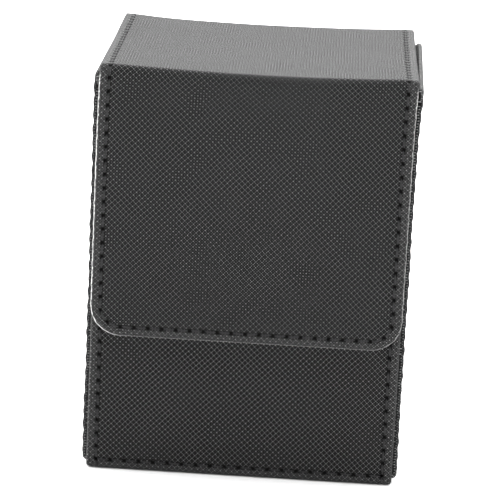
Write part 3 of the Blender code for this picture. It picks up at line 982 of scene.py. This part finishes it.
def add_front_panel(leather, cut_edge, thread):
    """The front panel's leather, from its turned-in top to just round the bottom fold, with its hem."""
    inside = FRONT + WALL + TURNED_OVER_LINING
    path = FoldedPath(
        [(inside, RIM - TURNED_IN), (inside, RIM), (FRONT, RIM), (FRONT, 0.0), (FRONT + SPLIT_REACH, 0.0)],
        [RIM_FOLD_RADIUS, RIM_FOLD_RADIUS, BOTTOM_FOLD_RADIUS],
    )
    surface = on_path(path, edge_pillow)
    face_start = path.folds[1][1]
    hem_v = path.folds[2][0] + BOTTOM_FOLD_RADIUS - HEM_Z
    hem_pitch = whole_pitch(SEAM_X)
    rows = np.unique(np.concatenate([
        steps(0.0, path.folds[0][0], 1.0 * MM),
        steps(path.folds[0][0], face_start, 0.3 * MM),
        steps(face_start, path.length, 0.36 * MM),
        steps(hem_v - 1.5 * MM, hem_v + 1.5 * MM, 0.25 * MM),
    ]))
    narrowing = smooth((face_start - rows) / (face_start - path.folds[0][0]))
    half_widths = HALF_STRIP - (HALF_STRIP - INNER_HALF_WIDTH) * narrowing
    grids = strip_grid(strip_columns(0.65 * MM), rows, half_widths)
    u, _, v = grids
    height, seam = strip_relief(u, v, STITCH, hem_v)
    in_hem = np.clip((SEAM_X - np.abs(u)) / (0.2 * MM), 0.0, 1.0)
    height = height + seam_relief(v - hem_v, u, hem_pitch) * in_hem
    nearer_hem = (hem_v - v < SEAM_X - np.abs(u))[..., None]
    seam = np.where(nearer_hem, seam_place(hem_v - v, u, hem_pitch), seam)
    seams_start = face_start + 2.0 * MM
    sewn = v > seams_start
    height = np.where(sewn, height, -rounding(HALF_STRIP - np.abs(u) - EDGE_BEVEL, EDGE_RADIUS))
    seam = np.where(sewn[..., None], seam, (CLEAR_OF_SEAMS, 0.0))
    sheet = add_strip("front_panel_leather", surface, grids, (height, seam), 0.0, [leather, cut_edge])

    first_hole = hem_v - STITCH * math.floor((hem_v - seams_start) / STITCH)
    runs = edge_runs(surface, first_hole, path.length, STITCH)
    runs.append(cross_run(surface, hem_v, SEAM_X, hem_pitch))
    stitches = add_stitches("front_panel_stitches", runs, thread)
    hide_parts("body_wrap")
    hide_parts("left_seam_thread", "right_seam_thread", "hem_thread")
    for piece, slot in ((sheet, "leather"), (stitches, "thread")):
        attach(piece, "box")


def add_base_and_back(leather, cut_edge, thread):
    """The leather from under the front edge, along the base and up the back to the hinge."""
    path = FoldedPath(
        [(FRONT + SPLIT_REACH, 0.0), (BACK, 0.0), (BACK, FOLD_FOOT)],
        [BOTTOM_FOLD_RADIUS],
    )
    surface = on_path(path, edge_pillow, sagging=1.0)
    pitch = whole_pitch(path.length)
    rows = steps(0.0, path.length, 0.34 * MM)
    grids = strip_grid(strip_columns(1.2 * MM), rows, HALF_STRIP + 0.0 * rows)
    relief = strip_relief(grids[0], grids[2], pitch, 0.0)
    sheet = add_strip("base_and_back_leather", surface, grids, relief, 0.0, [leather, cut_edge])
    runs = edge_runs(surface, 0.0, path.length, pitch)
    stitches = add_stitches("base_and_back_stitches", runs, thread)
    for piece, slot in ((sheet, "leather"), (stitches, "thread")):
        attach(piece, "box")
    return path.length


def add_back_hinge(leather, cut_edge, thread, suede, laid_from):
    """The leather, stitches and lining that bend at the top of the back."""
    corners = [(BACK, FOLD_FOOT), (BACK, HEIGHT), (HINGE_FRONT, HEIGHT)]
    path = FoldedPath(corners, [TOP_FOLD_RADIUS])
    surface = on_path(path, hinge_pillow(path.length), sagging=1.0)
    pitch = whole_pitch(path.length)
    rows = steps(0.0, path.length, 0.2 * MM)
    half_widths = HALF_STRIP - HINGE_CORNER * bell(rows - path.length / 2, 1.6 * MM)
    grids = strip_grid(strip_columns(0.8 * MM), rows, half_widths)
    relief = strip_relief(grids[0], grids[2], pitch, 0.0)
    materials = [leather, cut_edge]
    sheet = add_strip("back_hinge_fold", surface, grids, relief, laid_from, materials, WALL - LINING)
    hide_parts("back_hinge_leather")
    runs = edge_runs(surface, 0.0, path.length, pitch)
    stitches = add_stitches("back_hinge_stitches", runs, thread)

    bend_low, bend_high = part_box("back_hinge_lining")
    corners = [(BACK, bend_low.z), (BACK, HEIGHT), (lining_high.y, HEIGHT)]
    lining_path = FoldedPath(corners, [INNER_FOLD_RADIUS])
    lining_surface = on_path(lining_path, sagging=LINING_SAG)
    u = np.linspace(bend_low.x, bend_high.x, 41)[None, :]
    v = steps(0.0, lining_path.length, 0.3 * MM)[:, None]
    u, v = u + 0.0 * v, v + 0.0 * u
    lining = add_lining("back_hinge_suede", lining_surface, u, v, suede)
    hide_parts("back_hinge_lining")
    for piece, slot in ((sheet, "leather"), (stitches, "thread"), (lining, "lining")):
        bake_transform(piece)
    return path.length


def hinge_pillow(length):
    """Deepens the edges' fall from the back's to the lid's, along the hinge."""

    def base(u, v):
        depth = PILLOW / 2 * (1.0 + np.clip(v / length, 0.0, 1.0))
        return pillow(HALF_STRIP - np.abs(u), depth)

    return base


# ---------------------------------------------------------------- side panels


def rounded_span(v, low, high, low_radius, high_radius):
    """How far a rounded rectangle's side draws in at each place along it."""
    return rounding(v - low, low_radius) + rounding(high - v, high_radius)


def side_insets(middle):
    """Insets from a side panel's edge to its middle: fine over the fold and the border."""
    rounded = SIDE_FOLD_RADIUS * (1.0 - np.cos(np.linspace(0.0, math.pi / 2, 9)))
    fine = steps(SIDE_FOLD_RADIUS, SIDE_EDGE, 0.4 * MM)
    rest = steps(fine[-1], middle, 1.5 * MM)
    return np.concatenate([rounded, fine[1:], rest[1:]])


def side_surface(side, flare, x, y, z):
    """Points of a side panel, whose top leans out of square and stands up a little at the back."""
    forward = (side_high.y - y) / (side_high.y - side_low.y)
    upper = smooth((z - side_low.z) / (side_high.z - side_low.z) * 4.0 - 3.0)
    outward = flare * (1.1 - 0.35 * forward) * np.exp((z - side_high.z) / (10.0 * MM))
    return np.stack([side * (x + outward), y, z + SIDE_RISE * (1.0 - forward) * upper], axis=-1)


def add_side_panel(side, name, flare, front_radius, leather, suede):
    """A side panel: leather turned over its board on all four edges and puckered by the seams."""
    y_span = (side_low.y, side_high.y)
    z_span = (side_low.z, side_high.z)
    radii = (SIDE_CORNER_RADIUS, SIDE_CORNER_RADIUS, SIDE_CORNER_RADIUS, front_radius)
    rise = side_insets((z_span[1] - z_span[0]) / 2)
    low_rows = z_span[0] + rise[rise < SIDE_EDGE]
    high_rows = z_span[1] - rise[rise < SIDE_EDGE][::-1]
    upright = steps(z_span[0] + SIDE_EDGE, z_span[1] - SIDE_EDGE, 0.34 * MM)
    z = np.concatenate([low_rows, upright, high_rows])[:, None]
    y_low = y_span[0] + rounded_span(z, *z_span, radii[0], radii[3])
    y_high = y_span[1] - rounded_span(z, *z_span, radii[1], radii[2])
    half_depth = (y_span[1] - y_span[0]) / 2
    insets = side_insets(half_depth) / (2.0 * half_depth)
    shares = np.concatenate([insets, 1.0 - insets[-2::-1]])[None, :]
    y = y_low + (y_high - y_low) * shares
    z = z + 0.0 * y
    distance = rim_distance(y, z, y_span, z_span, radii)

    beside_seam = np.minimum(y - y_span[0], y_span[1] - y)
    along = np.where(beside_seam < z - z_span[0], z - HEM_Z, y)
    tuck = 0.5 - 0.5 * np.cos(along / STITCH * 2.0 * math.pi)
    slow_waves = np.sin(z / (5.3 * MM) + side) * np.sin(z / (12.1 * MM))
    uneven = slow_waves + 0.5 * np.sin(z / (0.9 * MM) + y / MM)
    below_top = np.clip((z_span[1] - z) / SIDE_EDGE, 0.0, 1.0)
    pucker = (0.24 * tuck + 0.10 * uneven - 0.12) * MM * bell(distance, 2.6 * MM) * below_top
    hollow = SIDE_HOLLOW * (1.0 - bell(distance, 14.0 * MM))
    x = HALF_WIDTH - rounding(distance, SIDE_FOLD_RADIUS) + pucker - hollow
    turned_down = SIDE_LIP * smooth((z - z_span[1] + SIDE_EDGE) / SIDE_EDGE)
    face = side_surface(side, flare, x, y, z)
    behind = side_surface(side, flare, side_lining_high.x, y, z - turned_down)
    sheet = add_sheet(f"{name}_side_leather", face, behind, np.stack([y, z], -1), [leather])
    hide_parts(f"{name}_side_panel", f"{name}_side_board")

    y = steps(side_lining_low.y, side_lining_high.y, 2.0 * MM)[None, :]
    z = steps(side_lining_low.z, side_lining_high.z, 1.0 * MM)[:, None]
    y, z = y + 0.0 * z, z + 0.0 * y
    face = side_surface(side, flare, side_lining_low.x, y, z)
    behind = side_surface(side, flare, side_lining_high.x + 0.1 * MM, y, z)
    lining = add_sheet(f"{name}_side_suede", face, behind, np.stack([y, z], -1), [suede])
    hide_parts(f"{name}_side_lining")
    for piece, slot in ((sheet, "leather"), (lining, "lining")):
        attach(piece, "box")


# ---------------------------------------------------------------- carried-over nodes


def paint_nodes(materials):
    """Gives every CAD node that still shows its procedural material."""
    slots = {entry["node"]: entry["material_slot"] for entry in frame["record"]["subparts"]}
    for name, obj in frame["nodes"].items():
        obj.data.materials.clear()
        obj.data.materials.append(materials[slots[name]])


def main():
    """The stage first, then the materials, then the pieces in order along the strip."""
    bpy.context.scene.view_settings.view_transform = "Standard"
    add_camera()
    add_world()
    add_stage()
    add_lights()

    fine_weave = make_leather("woven_leather", 0.16)
    bold_weave = make_leather("front_leather", 0.22)
    cut_edge = make_cut_edge()
    suede = make_suede()
    thread = make_thread()
    paint_nodes({
        "leather": fine_weave,
        "board": make_board(),
        "lining": suede,
        "thread": thread,
        "magnet": make_magnet(),
    })

    add_front_panel(bold_weave, cut_edge, thread)
    laid = add_base_and_back(fine_weave, cut_edge, thread)
    laid += add_back_hinge(fine_weave, cut_edge, thread, suede, laid)
    add_lid_and_flap(fine_weave, cut_edge, thread, laid)
    add_lid_and_flap_lining(suede)
    add_side_panel(-1, "left", LEFT_FLARE, LEFT_FRONT_RADIUS, fine_weave, suede)
    add_side_panel(1, "right", RIGHT_FLARE, RIGHT_FRONT_RADIUS, fine_weave, suede)


main()
